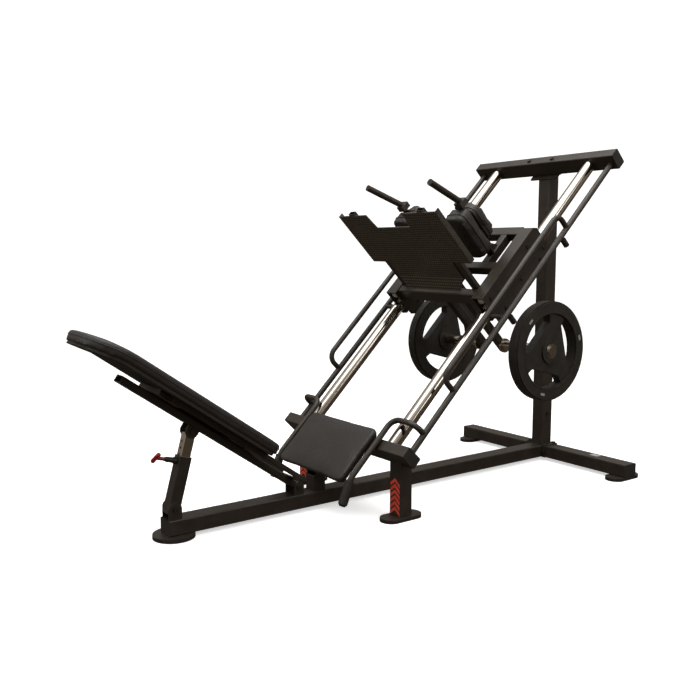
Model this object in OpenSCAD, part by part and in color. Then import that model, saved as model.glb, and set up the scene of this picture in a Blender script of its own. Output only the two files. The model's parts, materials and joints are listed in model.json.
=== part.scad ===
// Plate loaded 45 degree leg press and hack squat machine.
// Origin: middle of the footprint on the floor. +Y runs to the rear post, +X is the right side.

/* [Overall] */
// Slope of the guide rails above the floor, in degrees
rail_angle = 45; // [42:1:48]
// Length of each guide rail between the lower and upper cross beams
rail_len = 1658; // [1400:1:1990]
// Distance between the centre lines of the two guide rails
rail_gap = 582; // [540:1:700]
// Distance from the rail foot forward to the front end of the base tube
front_reach = 850; // [820:1:1020]
// Length of the rear floor beam
rear_beam_len = 1074; // [900:1:1290]
// Height of the rail foot above the floor
foot_z = 288; // [270:1:345]

/* [Steel sections] */
// Width of the base tube and of the rear floor beam
base_w = 80; // [60:1:96]
// Height of the base tube and of the rear floor beam
base_h = 60; // [50:1:72]
// Side of the square rear post
post_w = 70; // [60:1:84]
// Thickness of the cross beams along the rails
beam_t = 50; // [40:1:60]
// Depth of the cross beams square to the rails
beam_d = 80; // [70:1:96]
// Wall of the steel tubes
wall = 3; // [2:0.5:4]
// Outer corner radius of the steel tubes
corner = 5; // [3.5:0.5:6]
// Outer diameter of the guide rails
rail_d = 54; // [46:1:58]

/* [Feet] */
// Thickness of the rubber pad under each foot
pad_t = 9; // [6:1:12]
// Thickness of the steel foot plates
foot_t = 6; // [4:1:8]
// Width of the long foot plates
foot_w = 90; // [72:1:108]
// Length of the long foot plates
foot_len = 190; // [160:1:228]

/* [Sled] */
// Height of the sled above the rail foot, measured along the rails to its lower end
sled_u = 728; // [700:1:800]
// Length of the roller carriages
carriage_len = 444; // [400:1:480]
// Radius of the rollers at the bottom of their groove
roller_r = 23; // [18:0.5:26]
// Width of the rollers
roller_w = 40; // [30:1:46]
// Width of the foot plate
foot_plate_w = 660; // [560:1:700]
// Height of the foot plate above the rail axis
foot_plate_top = 532; // [480:1:600]
// Drop of the weight horns below the rail axis
horn_drop = 370; // [340:1:420]
// Diameter of the weight horns
horn_d = 49.6; // [40:0.2:49.6]

/* [Weight plates] */
// Diameter of the weight plates
plate_d = 450; // [360:1:480]
// Thickness of the weight plates
plate_t = 55; // [40:1:66]
// Bore of the weight plates
plate_bore = 50.2; // [50.1:0.1:54]
// Distance from the middle plane to the outer face of a weight plate
plate_out = 367; // [340:1:380]

/* [Safety bars] */
// Diameter of the turning safety bars
bar_d = 26; // [22:1:30]
// Distance from the middle plane to each safety bar
bar_x = 400; // [385:1:412]
// Height of the safety bars relative to the rail axis
bar_n = -10; // [-14:1:0]
// Diameter of the handle tubes on the safety bars
handle_d = 24; // [20:1:28]
// Height of the long grip above the rail axis
grip_n = 77; // [70:1:95]

/* [Backrest] */
// Slope of the backrest above the floor, in degrees
back_angle = 35; // [30:1:38]
// Width of the backrest cushion
back_w = 320; // [270:1:380]
// Thickness of the backrest cushion
back_t = 47; // [40:1:60]
// Straight length of the backrest cushion
back_len = 738; // [640:1:800]
// Length of the tilted head end of the backrest cushion
head_len = 142; // [120:1:170]
// Tilt of the head end against the backrest, in degrees
head_tilt = 10; // [4:1:12]

/* [Seat] */
// Width of the seat cushion
seat_w = 468; // [380:1:470]
// Length of the seat cushion
seat_len = 270; // [205:1:290]
// Thickness of the seat cushion
seat_t = 30; // [26:1:50]

/* [Clearances] */
// Gap between a roller and its rail, and beside moving faces
run_gap = 0.3; // [0.2:0.05:0.5]
// Radial clearance between a pin and its bore
pin_gap = 0.08; // [0.05:0.01:0.1]

/* [Hidden] */
$fn = 48;

// Colours
steel_black = [0.10, 0.10, 0.09];
chrome = [0.80, 0.80, 0.80];
rubber_black = [0.05, 0.05, 0.05];
vinyl = [0.11, 0.09, 0.08];
nylon = [0.85, 0.85, 0.82];
zinc = [0.60, 0.60, 0.60];
red = [0.80, 0.10, 0.08];

// Backrest face above its hinge axis
back_beam_t = 28;
strip_t = 5;
frame_t = 20;
board_t = 10;
back_low = 235;
back_seat_n = back_beam_t / 2 + strip_t + frame_t;

// Rail foot and the places that follow from the rails
rail_x = rail_gap / 2;
rail_r = rail_d / 2;
cos_r = cos(rail_angle);
sin_r = sin(rail_angle);
beam_mid_u = rail_len + beam_t / 2;
hinge_reach = 280;
back_total = back_len + head_len * cos(head_tilt);
tip_n = back_seat_n + board_t * (1 + tan(head_tilt / 2) * tan(head_tilt)) - head_len * sin(head_tilt);
head_reach = hinge_reach + (back_low + back_total) * cos(back_angle) - tip_n * sin(back_angle);
rear_reach = beam_mid_u * cos_r + base_w / 2 + foot_len / 2;
foot_y = (head_reach - rear_reach) / 2;
rear_y = foot_y + beam_mid_u * cos_r;
front_y = foot_y - front_reach;
cross_beam_len = 2 * (bar_x + 32);

// Floor frame
base_z = pad_t + foot_t;
base_top = base_z + base_h;
flange_t = 6;
post_y = rear_y + post_w / 2 + 1;
side_post_w = 70;
side_post_d = 60;
side_post_x = rail_x + 44;
side_post_y = foot_y + 9;
side_post_top = foot_z - 28;
front_foot_r = 80;
front_foot_y = front_y + 35;
rear_foot_x = rear_beam_len / 2 - 47;
cap_t = 4;

// Bolts
bolt_d = 12;
bolt_gap = 0.2;
head_h = 7;
nut_h = 9;
top_bolt_x = 72;
post_bolt_x = 55;
post_bolt_y = 26;
flange_bolt_x = 52;
flange_bolt_z = 16;

// Seat
seat_u = 26;
seat_board_t = 8;
seat_inset = 12;
seat_n = beam_d / 2;
seat_post_w = 60;
seat_corner = 22;
seat_post_y = foot_y + (seat_u - seat_len + 34 - seat_n) * cos_r;

// Backrest hinge, on the base tube
hinge_y = foot_y - hinge_reach;
hinge_z = base_top + 34;
hinge_d = 14;
beam_w = 60;
back_beam_len = 889;
back_corner = 30;
frame_rail_x = 85;
frame_rail_w = 22;
cross_tube_t = 745;
cross_tube_w = 50;
cheek_t = 6;
cheek_gap = 0.5;

// Strut between the base tube and the backrest
strut_out_w = 50;
strut_in_w = 40;
strut_y = front_y + 30;
strut_z = base_top + 40;
lug_t = 544.5;
lug_drop = 30;
lug_w = 52;
strut_pin_d = 12;
upper_y = hinge_y - lug_t * cos(back_angle) - lug_drop * sin(back_angle);
upper_z = hinge_z + lug_t * sin(back_angle) - lug_drop * cos(back_angle);
strut_len = norm([upper_y - strut_y, upper_z - strut_z]);
strut_lean = -atan2(upper_y - strut_y, upper_z - strut_z);
strut_out_top = strut_len - 97;
strut_in_len = strut_len - 77;
pull_z = strut_out_top - 20;
hole_pitch = 25;
lock_d = 9;
pull_len = 58;
pin_slack = 0.6;

// Sled
side_gap = 29;
sheet_t = 5;
web_n = rail_r + run_gap + 2 * roller_r + 8;
web_t = 4;
outer_x = rail_x + side_gap;
inner_x = rail_x - side_gap;

carriage_top_n = web_n + web_t;
chamfer = 18;
axle_n = rail_r + run_gap + roller_r;
carriage_low_n = -axle_n - roller_r - 6;
axle_d = 12;
top_axles = [38, 345];
low_axles = [73, 368];
tube_low_n = 38;
lower_cross_w = 40;
lower_cross_n = 20;
mid_cross_u = 180;
mid_cross_w = 42;
upper_cross_w = 50;
upper_cross_u = carriage_len - upper_cross_w - 4;
sled_half = inner_x - sheet_t;
lower_cross_u = 19;
carrier_x = 173;
carrier_w = 35;
arm_x = 62;
arm_w = 30;
arm_u = 106;
arm_h = 40;
horn_base_x = arm_x + arm_w / 2;
horn_tip_x = plate_out + 8;
collar_d = 68;
collar_t = 10;

// Foot plate
plate_sheet = 4;
plate_u = lower_cross_u + lower_cross_w;
plate_low_w = 430;
plate_step_n = 242;
plate_bend_n = 150;
plate_foot_n = 92;
plate_bend = 24;
notch_w = 250;
notch_d = 76;
flange_w = 20;
upright_x = 233;
upright_w = 40;
upright_d = 20;

// Shoulder pads and handles
shoulder_u = 190;
shoulder_x = 176;
shoulder_w = 118;
shoulder_t = 78;
shoulder_low = 120;
shoulder_top = 362;
shoulder_sheet = 8;
neck_t = 62;
neck_low = 158;
neck_top = 340;
shoulder_corner = 26;
rod_d = 28;
rod_block_h = 26;
rod_base = [192, 284, 374];
rod_tilt = 23.7;
rod_splay = 5.1;
rod_len = 214;

// Safety bars
stud_d = 16;
stud_len = 24;
bar_end_gap = 0.3;
grip_low_u = 312;
grip_high_u = 1247;
grip_bend = 45;
lever_u = 92;
lever_x = 262;
lever_n = 55;
lever_bend = 42;
lever_low_u = -190;
lever_turn = 22;
lever_turn_r = 60;
lever_grip_len = 108;
lever_grip_d = 38;
peg_d = 14;
peg_sleeve_d = 26;
peg_end = -66;
peg_sleeve_top = -28;
peg_us = [739, 1195];
catch_d = 20;
catch_x = outer_x - 0.5;

// ---- Frames of reference ----

// Local Y runs up the rails, local Z points away from the floor, square to the rails
module on_rails() {
    translate([0, foot_y, foot_z]) rotate([rail_angle, 0, 0]) children();
}

// The sled's own frame: local Y starts at the lower end of the carriages
module on_sled() {
    on_rails() translate([0, sled_u, 0]) children();
}

// Local -Y runs up the backrest from its hinge, local Z is square to its face
module on_backrest() {
    translate([0, hinge_y, hinge_z]) rotate([-back_angle, 0, 0]) children();
}

// Local Z runs up the strut from its lower pivot
module on_strut() {
    translate([0, strut_y, strut_z]) rotate([strut_lean, 0, 0]) children();
}

// Places a drawing of (Y, Z) points, raised along X, at distance x
module in_side_plane(x) {
    translate([x, 0, 0]) rotate([90, 0, 90]) children();
}

module both_sides() {
    children();
    mirror([1, 0, 0]) children();
}

// ---- Shapes that repeat ----

module rounded(w, d, r) {
    square([w - 2 * r, d], center = true);
    square([w, d - 2 * r], center = true);
    for (x = [-1, 1], y = [-1, 1])
        translate([x * (w / 2 - r), y * (d / 2 - r)]) circle(r = r);
}

// Square steel tube along Z, w in X and d in Y
module steel_tube(len, w, d, t = wall, r = corner) {
    linear_extrude(len) difference() {
        rounded(w, d, r);
        rounded(w - 2 * t, d - 2 * t, max(r - t, 0.5));
    }
}

// The same along X, h in Z and d in Y
module tube_x(len, h, d, t = wall, r = corner) {
    rotate([0, 90, 0]) steel_tube(len, h, d, t, r);
}

// The same along Y, w in X and h in Z
module tube_y(len, w, h, t = wall, r = corner) {
    rotate([-90, 0, 0]) steel_tube(len, w, h, t, r);
}

module pin_x(x0, x1, d) {
    translate([x0, 0, 0]) rotate([0, 90, 0]) cylinder(h = x1 - x0, d = d);
}

// Hexagon head or nut, h high along Z
module hexagon(across, h) {
    cylinder(h = h, d = across / cos(30), $fn = 6);
}

// Bolt along -Z from the underside of its head, with its nut below the grip length
module bolt(grip, d = bolt_d) {
    hexagon(1.5 * d, head_h);
    translate([0, 0, -grip - nut_h]) cylinder(h = grip + nut_h, d = d);
    translate([0, 0, -grip - nut_h]) difference() {
        hexagon(1.5 * d, nut_h);
        translate([0, 0, -1]) cylinder(h = nut_h + 2, d = d - 0.5);
    }
}

// Part of a ring in the XY plane, from angle a, turning by sweep
module bend(d, r, a, sweep) {
    rotate([0, 0, a]) rotate_extrude(angle = sweep) translate([r, 0]) circle(d = d);
}

// Long plate with round ends along Y
module long_plate(w, len, h) {
    linear_extrude(h) {
        square([w, len - w], center = true);
        for (y = [-1, 1]) translate([0, y * (len - w) / 2]) circle(d = w);
    }
}

// ---- Floor frame ----

module base_tube() {
    color(steel_black) difference() {
        translate([0, front_y + cap_t, base_z + base_h / 2])
            tube_y(rear_y - flange_t - front_y - cap_t, base_w, base_h);
        flange_bolt_holes();
    }
}

module flange_bolt_holes() {
    for (x = [-1, 1])
        translate([x * flange_bolt_x, rear_y + 20, base_z + base_h / 2])
            rotate([90, 0, 0]) cylinder(h = 60, d = bolt_d + 2 * bolt_gap);
}

module rear_beam() {
    color(steel_black) difference() {
        translate([-rear_beam_len / 2 + cap_t, rear_y + base_w / 2, base_z + base_h / 2])
            tube_x(rear_beam_len - 2 * cap_t, base_h, base_w);
        flange_bolt_holes();
        post_bolt_holes();
    }
}

module post_bolt_holes() {
    for (x = [-1, 1], y = [-1, 1])
        translate([x * post_bolt_x, rear_y + base_w / 2 + y * post_bolt_y, base_top - 20])
            cylinder(h = 60, d = bolt_d + 2 * bolt_gap);
}

// Plastic plugs in the open ends of the tubes
module end_caps() {
    color(rubber_black) {
        translate([0, front_y, base_z + base_h / 2]) rotate([-90, 0, 0])
            linear_extrude(cap_t) rounded(base_w, base_h, corner);
        both_sides() translate([rear_beam_len / 2 - cap_t, rear_y + base_w / 2, base_z + base_h / 2])
            rotate([0, 90, 0]) linear_extrude(cap_t) rounded(base_h, base_w, corner);
        for (u = [-beam_t / 2, beam_mid_u])
            on_rails() both_sides() translate([cross_beam_len / 2 - cap_t, u, 0])
                rotate([0, 90, 0]) linear_extrude(cap_t) rounded(beam_d, beam_t, corner);
    }
}

module foot_at(h, z) {
    translate([0, front_foot_y, z]) cylinder(h = h, r = front_foot_r);
    both_sides() translate([rear_foot_x, rear_y + base_w / 2, z]) long_plate(foot_w, foot_len, h);
    both_sides() translate([side_post_x, side_post_y, z]) long_plate(foot_w, foot_len, h);
}

module foot_plates() {
    color(steel_black) foot_at(foot_t, pad_t);
}

module foot_pads() {
    color(rubber_black) foot_at(pad_t, 0);
}

// Welded plates where the base tube, the rear beam, the rear post and the top beam meet
module joint_flanges() {
    color(steel_black) {
        difference() {
            translate([0, rear_y - flange_t, base_z + base_h / 2]) rotate([-90, 0, 0])
                linear_extrude(flange_t) rounded(2 * flange_bolt_x + 24, base_h, corner);
            flange_bolt_holes();
        }
        difference() {
            translate([0, rear_y + base_w / 2, base_top])
                linear_extrude(flange_t) rounded(2 * post_bolt_x + 30, base_w, corner);
            post_bolt_holes();
        }
        difference() {
            on_rails() translate([0, beam_mid_u + 4, -beam_d / 2 - flange_t])
                linear_extrude(flange_t) rounded(2 * top_bolt_x + 24, post_w / cos_r + 6, corner);
            top_bolt_holes();
        }
    }
}

module rear_post() {
    color(steel_black) difference() {
        translate([0, post_y, base_top + flange_t])
            steel_tube(foot_z + (beam_mid_u + beam_t) * sin_r, post_w, post_w);
        on_rails() translate([-post_w, rail_len - 200, -beam_d / 2 - flange_t])
            cube([2 * post_w, 1600, 1600]);
        translate([0, post_y, 0]) cross_bolt_place() pin_x(-post_w, post_w, bolt_d + 2 * bolt_gap);
    }
}

module cross_bolt_place() {
    translate([0, 0, base_top + 160]) children();
}

module top_bolt_holes() {
    on_rails() for (x = [-1, 1])
        translate([x * top_bolt_x, beam_mid_u, -beam_d])
            cylinder(h = 2 * beam_d, d = bolt_d + 2 * bolt_gap);
}

module top_beam() {
    color(steel_black) difference() {
        on_rails() translate([-cross_beam_len / 2 + cap_t, beam_mid_u, 0])
            tube_x(cross_beam_len - 2 * cap_t, beam_d, beam_t);
        top_bolt_holes();
        stud_holes();
    }
}

module lower_beam() {
    color(steel_black) difference() {
        on_rails() translate([-cross_beam_len / 2 + cap_t, -beam_t / 2, 0])
            tube_x(cross_beam_len - 2 * cap_t, beam_d, beam_t);
        stud_holes();
    }
}

// Holes for the studs that the safety bars turn on
module stud_holes() {
    on_rails() both_sides() translate([bar_x, -wall, bar_n]) rotate([-90, 0, 0])
        cylinder(h = rail_len + 2 * wall, d = stud_d + 2 * pin_gap);
}

module side_posts() {
    color(steel_black) both_sides() difference() {
        translate([side_post_x, side_post_y, base_z])
            steel_tube(side_post_top - base_z, side_post_w, side_post_d);
        on_rails() translate([0, -beam_t, -beam_d / 2]) cube([2 * side_post_x, 400, 400]);
    }
}

module guide_rails() {
    color(chrome) both_sides() on_rails() translate([rail_x, 0, 0]) rotate([-90, 0, 0]) difference() {
        cylinder(h = rail_len, d = rail_d);
        translate([0, 0, -1]) cylinder(h = rail_len + 2, d = rail_d - 2 * wall);
    }
}

module frame_bolts() {
    color(zinc) {
        on_rails() for (x = [-1, 1]) translate([x * top_bolt_x, beam_mid_u, beam_d / 2])
            bolt(beam_d + flange_t);
        for (x = [-1, 1], y = [-1, 1])
            translate([x * post_bolt_x, rear_y + base_w / 2 + y * post_bolt_y, base_top + flange_t])
                bolt(flange_t + wall);
        for (x = [-1, 1])
            translate([x * flange_bolt_x, rear_y - flange_t, base_z + base_h / 2])
                rotate([90, 0, 0]) bolt(flange_t + wall);
        translate([0, post_y, 0]) cross_bolt_place() {
            pin_x(-post_w / 2 - 12, post_w / 2, bolt_d);
            translate([post_w / 2, 0, 0]) rotate([0, 90, 0]) hexagon(18, head_h);
            translate([-post_w / 2 - nut_h, 0, 0]) rotate([0, 90, 0]) difference() {
                hexagon(18, nut_h);
                translate([0, 0, -1]) cylinder(h = nut_h + 2, d = bolt_d - 0.5);
            }
        }
    }
}

// Six arrow heads on the front face of each side post
module chevron_decals() {
    color(red) both_sides() for (i = [0:5])
        translate([side_post_x, side_post_y - side_post_d / 2, base_z + 4 + 23 * i])
            rotate([90, 0, 0]) linear_extrude(0.4)
                polygon([[-29, 0], [0, 22], [29, 0], [29, 15], [0, 37], [-29, 15]]);
}

// ---- Seat ----

module seat_post() {
    color(steel_black) difference() {
        translate([0, seat_post_y, base_top]) steel_tube(foot_z - base_top, seat_post_w, seat_post_w);
        on_rails() translate([-200, -900, seat_n]) cube([400, 1800, 900]);
    }
}

module seat_board() {
    color(rubber_black) on_rails()
        translate([0, seat_u - seat_len / 2, seat_n]) linear_extrude(seat_board_t)
            rounded(seat_w - 2 * seat_inset, seat_len - 2 * seat_inset, seat_corner - seat_inset / 2);
}

module seat_cushion() {
    color(vinyl) on_rails()
        translate([0, seat_u - seat_len / 2, seat_n + seat_board_t]) linear_extrude(seat_t)
            rounded(seat_w, seat_len, seat_corner);
}

// ---- Backrest ----

module cheeks(x0, t, w, low, high) {
    both_sides() in_side_plane(x0) linear_extrude(t) difference() {
        union() {
            circle(d = w);
            translate([-w / 2, low]) square([w, high - low]);
        }
        circle(d = hinge_d + 2 * pin_gap);
    }
}

module backrest_bracket() {
    color(steel_black) translate([0, hinge_y, hinge_z])
        cheeks(beam_w / 2 + cheek_gap, cheek_t, 44, base_top - hinge_z, 0);
}

module backrest_beam() {
    color(steel_black) on_backrest() difference() {
        translate([0, -back_beam_len, 0]) tube_y(back_beam_len + 18, beam_w, back_beam_t);
        pin_x(-beam_w, beam_w, hinge_d + 2 * pin_gap);
    }
}

// Strips, two side rails and the cross tube that carry the board
module backrest_frame() {
    low_t = 30;
    high_t = 715;
    color(steel_black) on_backrest() {
        for (t = [60, 380, 690])
            translate([0, -t, back_beam_t / 2 + strip_t / 2])
                cube([2 * frame_rail_x + frame_rail_w, 40, strip_t], center = true);
        both_sides() translate([frame_rail_x, -high_t, back_beam_t / 2 + strip_t + frame_t / 2])
            tube_y(high_t - low_t, frame_rail_w, frame_t, 2, 3);
        translate([-frame_rail_x - frame_rail_w / 2, -cross_tube_t, back_beam_t / 2 + (strip_t + frame_t) / 2])
            tube_x(2 * frame_rail_x + frame_rail_w, strip_t + frame_t, cross_tube_w, 2, 3);
    }
}

// Outline of the backrest as seen from above, from its lower end to the rounded head
module back_outline(w, len) {
    head_r = w * 0.42;
    translate([-w / 2 + back_corner, -back_corner]) square([w - 2 * back_corner, back_corner]);
    translate([-w / 2, -len + head_r]) square([w, len - head_r - back_corner]);
    translate([-w / 2 + head_r, -len]) square([w - 2 * head_r, len / 2]);
    for (x = [-1, 1]) {
        translate([x * (w / 2 - back_corner), -back_corner]) circle(r = back_corner);
        translate([x * (w / 2 - head_r), -len + head_r]) circle(r = head_r);
    }
}

// Side view of a slab that bends at the head end, between two heights above the frame rails
module bent_profile(low, high) {
    run = head_len + 60;
    drop = run * tan(head_tilt);
    function knee(h) = [-back_len - h * tan(head_tilt / 2), h];
    polygon([[0, low], knee(low), knee(low) - [run, drop], knee(high) - [run, drop],
             knee(high), [0, high]]);
}

module back_slab(low, high, inset) {
    w = back_w - 2 * inset;
    translate([0, -back_low, back_seat_n]) intersection() {
        in_side_plane(-back_w) linear_extrude(2 * back_w) bent_profile(low, high);
        translate([0, -inset, -100]) linear_extrude(300) back_outline(w, back_total - 2 * inset);
    }
}

module backrest_board() {
    color(rubber_black) on_backrest() back_slab(0, board_t, 12);
}

module backrest_cushion() {
    color(vinyl) on_backrest() back_slab(board_t, board_t + back_t, 0);
}

// Two lugs under the beam that hold the top of the strut
module strut_lugs() {
    color(steel_black) on_backrest() translate([0, -lug_t, -lug_drop])
        both_sides() in_side_plane(strut_in_w / 2 + cheek_gap) linear_extrude(cheek_t)
            difference() {
                intersection() {
                    union() {
                        circle(d = lug_w);
                        translate([-lug_w / 2, 0]) square([lug_w, lug_drop]);
                    }
                    translate([-lug_w, -lug_w]) square([2 * lug_w, lug_w + lug_drop - back_beam_t / 2]);
                }
                circle(d = strut_pin_d + 2 * pin_gap);
            }
}

module strut_upper_pin() {
    reach = strut_in_w / 2 + cheek_gap + cheek_t;
    color(zinc) on_backrest() translate([0, -lug_t, -lug_drop]) {
        pin_x(-reach, reach, strut_pin_d);
        both_sides() translate([reach, 0, 0]) rotate([0, 90, 0]) hexagon(18, head_h);
    }
}

// ---- Strut ----

module strut_bracket() {
    color(steel_black) translate([0, strut_y, strut_z]) difference() {
        both_sides() in_side_plane(strut_out_w / 2 + cheek_gap) linear_extrude(cheek_t) {
            circle(d = lug_w);
            translate([-lug_w / 2, base_top - strut_z]) square([lug_w, strut_z - base_top]);
        }
        pin_x(-100, 100, strut_pin_d + 2 * pin_gap);
    }
}

module strut_outer() {
    color(steel_black) on_strut() difference() {
        translate([0, 0, -22]) linear_extrude(strut_out_top + 22) difference() {
            rounded(strut_out_w, strut_out_w, corner);
            rounded(strut_in_w + 2 * cheek_gap, strut_in_w + 2 * cheek_gap, 2);
        }
        pin_x(-strut_out_w, strut_out_w, strut_pin_d + 2 * pin_gap);
        translate([0, 0, pull_z]) rotate([90, 0, 0]) cylinder(h = strut_out_w, d = lock_d + 1);
    }
}

// Threaded barrel welded to the front of the strut, which guides the pull pin
module pin_barrel() {
    color(zinc) on_strut() translate([0, -strut_out_w / 2, pull_z]) rotate([90, 0, 0])
        difference() {
            union() {
                cylinder(h = 12, d = 26);
                cylinder(h = 37, d = 21);
                translate([0, 0, 37]) cylinder(h = 13, d1 = 21, d2 = 15);
            }
            translate([0, 0, -1]) cylinder(h = 60, d = lock_d + 2 * pin_gap);
        }
}

// Chrome inner tube with its row of lock holes and two ears for the upper pin
module strut_inner() {
    color(chrome) on_strut() difference() {
        union() {
            translate([0, 0, strut_len - strut_in_len]) linear_extrude(strut_in_len - 8)
                difference() {
                    rounded(strut_in_w, strut_in_w, 3);
                    rounded(strut_in_w - 2 * wall, strut_in_w - 2 * wall, 1);
                }
            translate([0, 0, strut_len]) both_sides() in_side_plane(strut_in_w / 2 - wall)
                linear_extrude(wall) {
                    circle(r = 15);
                    translate([-15, -14]) square([30, 14]);
                }
        }
        translate([0, 0, strut_len]) pin_x(-strut_in_w, strut_in_w, strut_pin_d + 2 * pin_slack);
        for (i = [-2:3]) translate([0, 0, pull_z + i * hole_pitch])
            rotate([90, 0, 0]) cylinder(h = strut_in_w, d = lock_d + 1);
    }
}

// Lock pin, drawn back until its tip stands just clear of the inner tube
module pull_pin() {
    color(zinc) on_strut() translate([0, -strut_in_w / 2 - run_gap, pull_z]) rotate([90, 0, 0])
        cylinder(h = pull_len, d = lock_d);
}

// Red cross bar on the end of the pull pin
module pull_handle() {
    pull_y = strut_in_w / 2 + run_gap + pull_len;
    color(red) on_strut() translate([0, -pull_y, pull_z]) rotate([90, 0, 0]) {
        cylinder(h = 30, d = 14);
        rotate([0, 0, -50]) translate([0, 0, 30]) rotate([90, 0, 0]) {
            translate([0, 0, -23]) cylinder(h = 46, d = 17);
            for (z = [-23, 23]) translate([0, 0, z]) sphere(d = 17);
        }
    }
}

module hinge_pins() {
    reach = beam_w / 2 + cheek_gap + cheek_t;
    out = strut_out_w / 2 + cheek_gap + cheek_t;
    color(zinc) {
        translate([0, hinge_y, hinge_z]) {
            pin_x(-reach, reach, hinge_d);
            both_sides() translate([reach, 0, 0]) rotate([0, 90, 0]) hexagon(22, head_h);
        }
        translate([0, strut_y, strut_z]) {
            pin_x(-out, out, strut_pin_d);
            both_sides() translate([out, 0, 0]) rotate([0, 90, 0]) hexagon(18, head_h);
        }
    }
}

// ---- Sled ----

module carriage_sheet(x) {
    low_n = carriage_low_n;
    high_n = carriage_top_n;
    in_side_plane(x) linear_extrude(sheet_t) difference() {
        polygon([[0, low_n + chamfer], [chamfer, low_n], [carriage_len - chamfer, low_n],
                 [carriage_len, low_n + chamfer], [carriage_len, high_n - chamfer],
                 [carriage_len - chamfer, high_n], [0, high_n]]);
        for (u = top_axles) translate([u, axle_n]) circle(d = axle_d + 2 * pin_gap);
        for (u = low_axles) translate([u, -axle_n]) circle(d = axle_d + 2 * pin_gap);
    }
}

// Side sheets that hold the roller axles, outside and inside each rail
module carriage_sheets() {
    color(steel_black) both_sides() on_sled() {
        carriage_sheet(outer_x);
        carriage_sheet(inner_x - sheet_t);
    }
}

module carriage_webs() {
    color(steel_black) both_sides() on_sled() translate([inner_x, 0, web_n])
        cube([outer_x - inner_x, carriage_len - chamfer, web_t]);
}

module cross_tube(u, w, low_n) {
    h = web_n - low_n;
    translate([-sled_half, u + w / 2, low_n + h / 2]) tube_x(2 * sled_half, h, w);
}

module sled_cross_tubes() {
    color(steel_black) on_sled() {
        cross_tube(lower_cross_u, lower_cross_w, lower_cross_n);
        cross_tube(mid_cross_u, mid_cross_w, tube_low_n);
        cross_tube(upper_cross_u, upper_cross_w, tube_low_n);
    }
}

// Tubes along the sled between its cross tubes
module sled_carriers() {
    h = web_n - tube_low_n;
    low = lower_cross_u + lower_cross_w;
    mid = mid_cross_u + mid_cross_w;
    color(steel_black) on_sled() both_sides() {
        translate([carrier_x, mid, tube_low_n + h / 2]) tube_y(upper_cross_u - mid, carrier_w, h);
        translate([arm_x, low, tube_low_n + h / 2]) tube_y(mid_cross_u - low, arm_w, h);
    }
}

// Foot plate outline in (X, N), with the head notch and the narrow lower part
module foot_plate_outline() {
    half = foot_plate_w / 2;
    low_half = plate_low_w / 2;
    top = foot_plate_top;
    polygon([[-low_half + 40, plate_foot_n], [low_half - 40, plate_foot_n],
             [low_half, plate_bend_n], [low_half, plate_step_n], [half, plate_step_n],
             [half, top], [notch_w / 2, top], [notch_w / 2 - 15, top - notch_d],
             [-notch_w / 2 + 15, top - notch_d], [-notch_w / 2, top], [-half, top],
             [-half, plate_step_n], [-low_half, plate_step_n], [-low_half, plate_bend_n]]);
}

// Side view in (U, N) of the sheet, whose lower end bends toward the user
module foot_plate_profile() {
    tail = [80 * tan(plate_bend), 80];
    knee = [plate_u, plate_bend_n];
    front = [plate_u - plate_sheet, plate_bend_n + plate_sheet * tan(plate_bend / 2)];
    polygon([knee, [plate_u, 900], [plate_u - plate_sheet, 900], front, front - tail, knee - tail]);
}

module foot_plate() {
    color(steel_black) on_sled() {
        intersection() {
            in_side_plane(-foot_plate_w) linear_extrude(2 * foot_plate_w) foot_plate_profile();
            translate([0, plate_u + 10, 0]) rotate([90, 0, 0]) linear_extrude(100)
                foot_plate_outline();
        }
        both_sides() translate([foot_plate_w / 2 - plate_sheet, plate_u, plate_step_n])
            cube([plate_sheet, flange_w, foot_plate_top - plate_step_n]);
    }
}

// Tubes behind the foot plate, welded to the lower cross tube, and their cross strip
module foot_plate_uprights() {
    color(steel_black) on_sled() {
        both_sides() {
            translate([upright_x, plate_u + upright_d / 2, lower_cross_n])
                steel_tube(foot_plate_top + 6 - lower_cross_n, upright_w, upright_d, 2, 3);
        }
        translate([-upright_x + upright_w / 2, plate_u, 300])
            cube([2 * upright_x - upright_w, upright_d, 30]);
    }
}

// Sheet behind each shoulder cushion, standing on the sled, with the block for the handle
module shoulder_brackets() {
    u0 = shoulder_u + shoulder_t;
    color(steel_black) on_sled() both_sides() {
        translate([shoulder_x - 25, u0, web_n])
            cube([50, shoulder_sheet, shoulder_top - web_n]);
        difference() {
            translate([rod_base.x - 21, u0 - 8, shoulder_top]) cube([42, 42, rod_block_h]);
            hand_bar(rod_d + 0.1);
        }
        in_side_plane(shoulder_x - 4) linear_extrude(8)
            polygon([[u0 + shoulder_sheet, web_n], [u0 + 60, web_n], [u0 + shoulder_sheet, neck_low - 6]]);
    }
}

module shoulder_cushion() {
    mid_n = (shoulder_low + shoulder_top) / 2;
    color(vinyl) on_sled() translate([shoulder_x, shoulder_u + shoulder_t, mid_n]) rotate([90, 0, 0])
        linear_extrude(shoulder_t)
            rounded(shoulder_w, shoulder_top - shoulder_low, shoulder_corner);
}

module shoulder_cushion_right() { shoulder_cushion(); }
module shoulder_cushion_left() { mirror([1, 0, 0]) shoulder_cushion(); }

// Pads on the far side of the shoulder sheets
module neck_pads() {
    color(vinyl) both_sides() on_sled()
        translate([shoulder_x, shoulder_u + shoulder_t + shoulder_sheet, (neck_low + neck_top) / 2])
            rotate([-90, 0, 0]) linear_extrude(neck_t)
                rounded(shoulder_w - 8, neck_top - neck_low, shoulder_corner);
}

// Hand bars that stand on the blocks above the shoulder pads, with the foot of each let into its block
module hand_bar(d) {
    translate(rod_base) rotate([rod_tilt, 0, 0]) rotate([0, rod_splay, 0]) cylinder(h = rod_len, d = d);
}

module shoulder_handles() {
    color(steel_black) both_sides() on_sled() hand_bar(rod_d);
}

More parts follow.
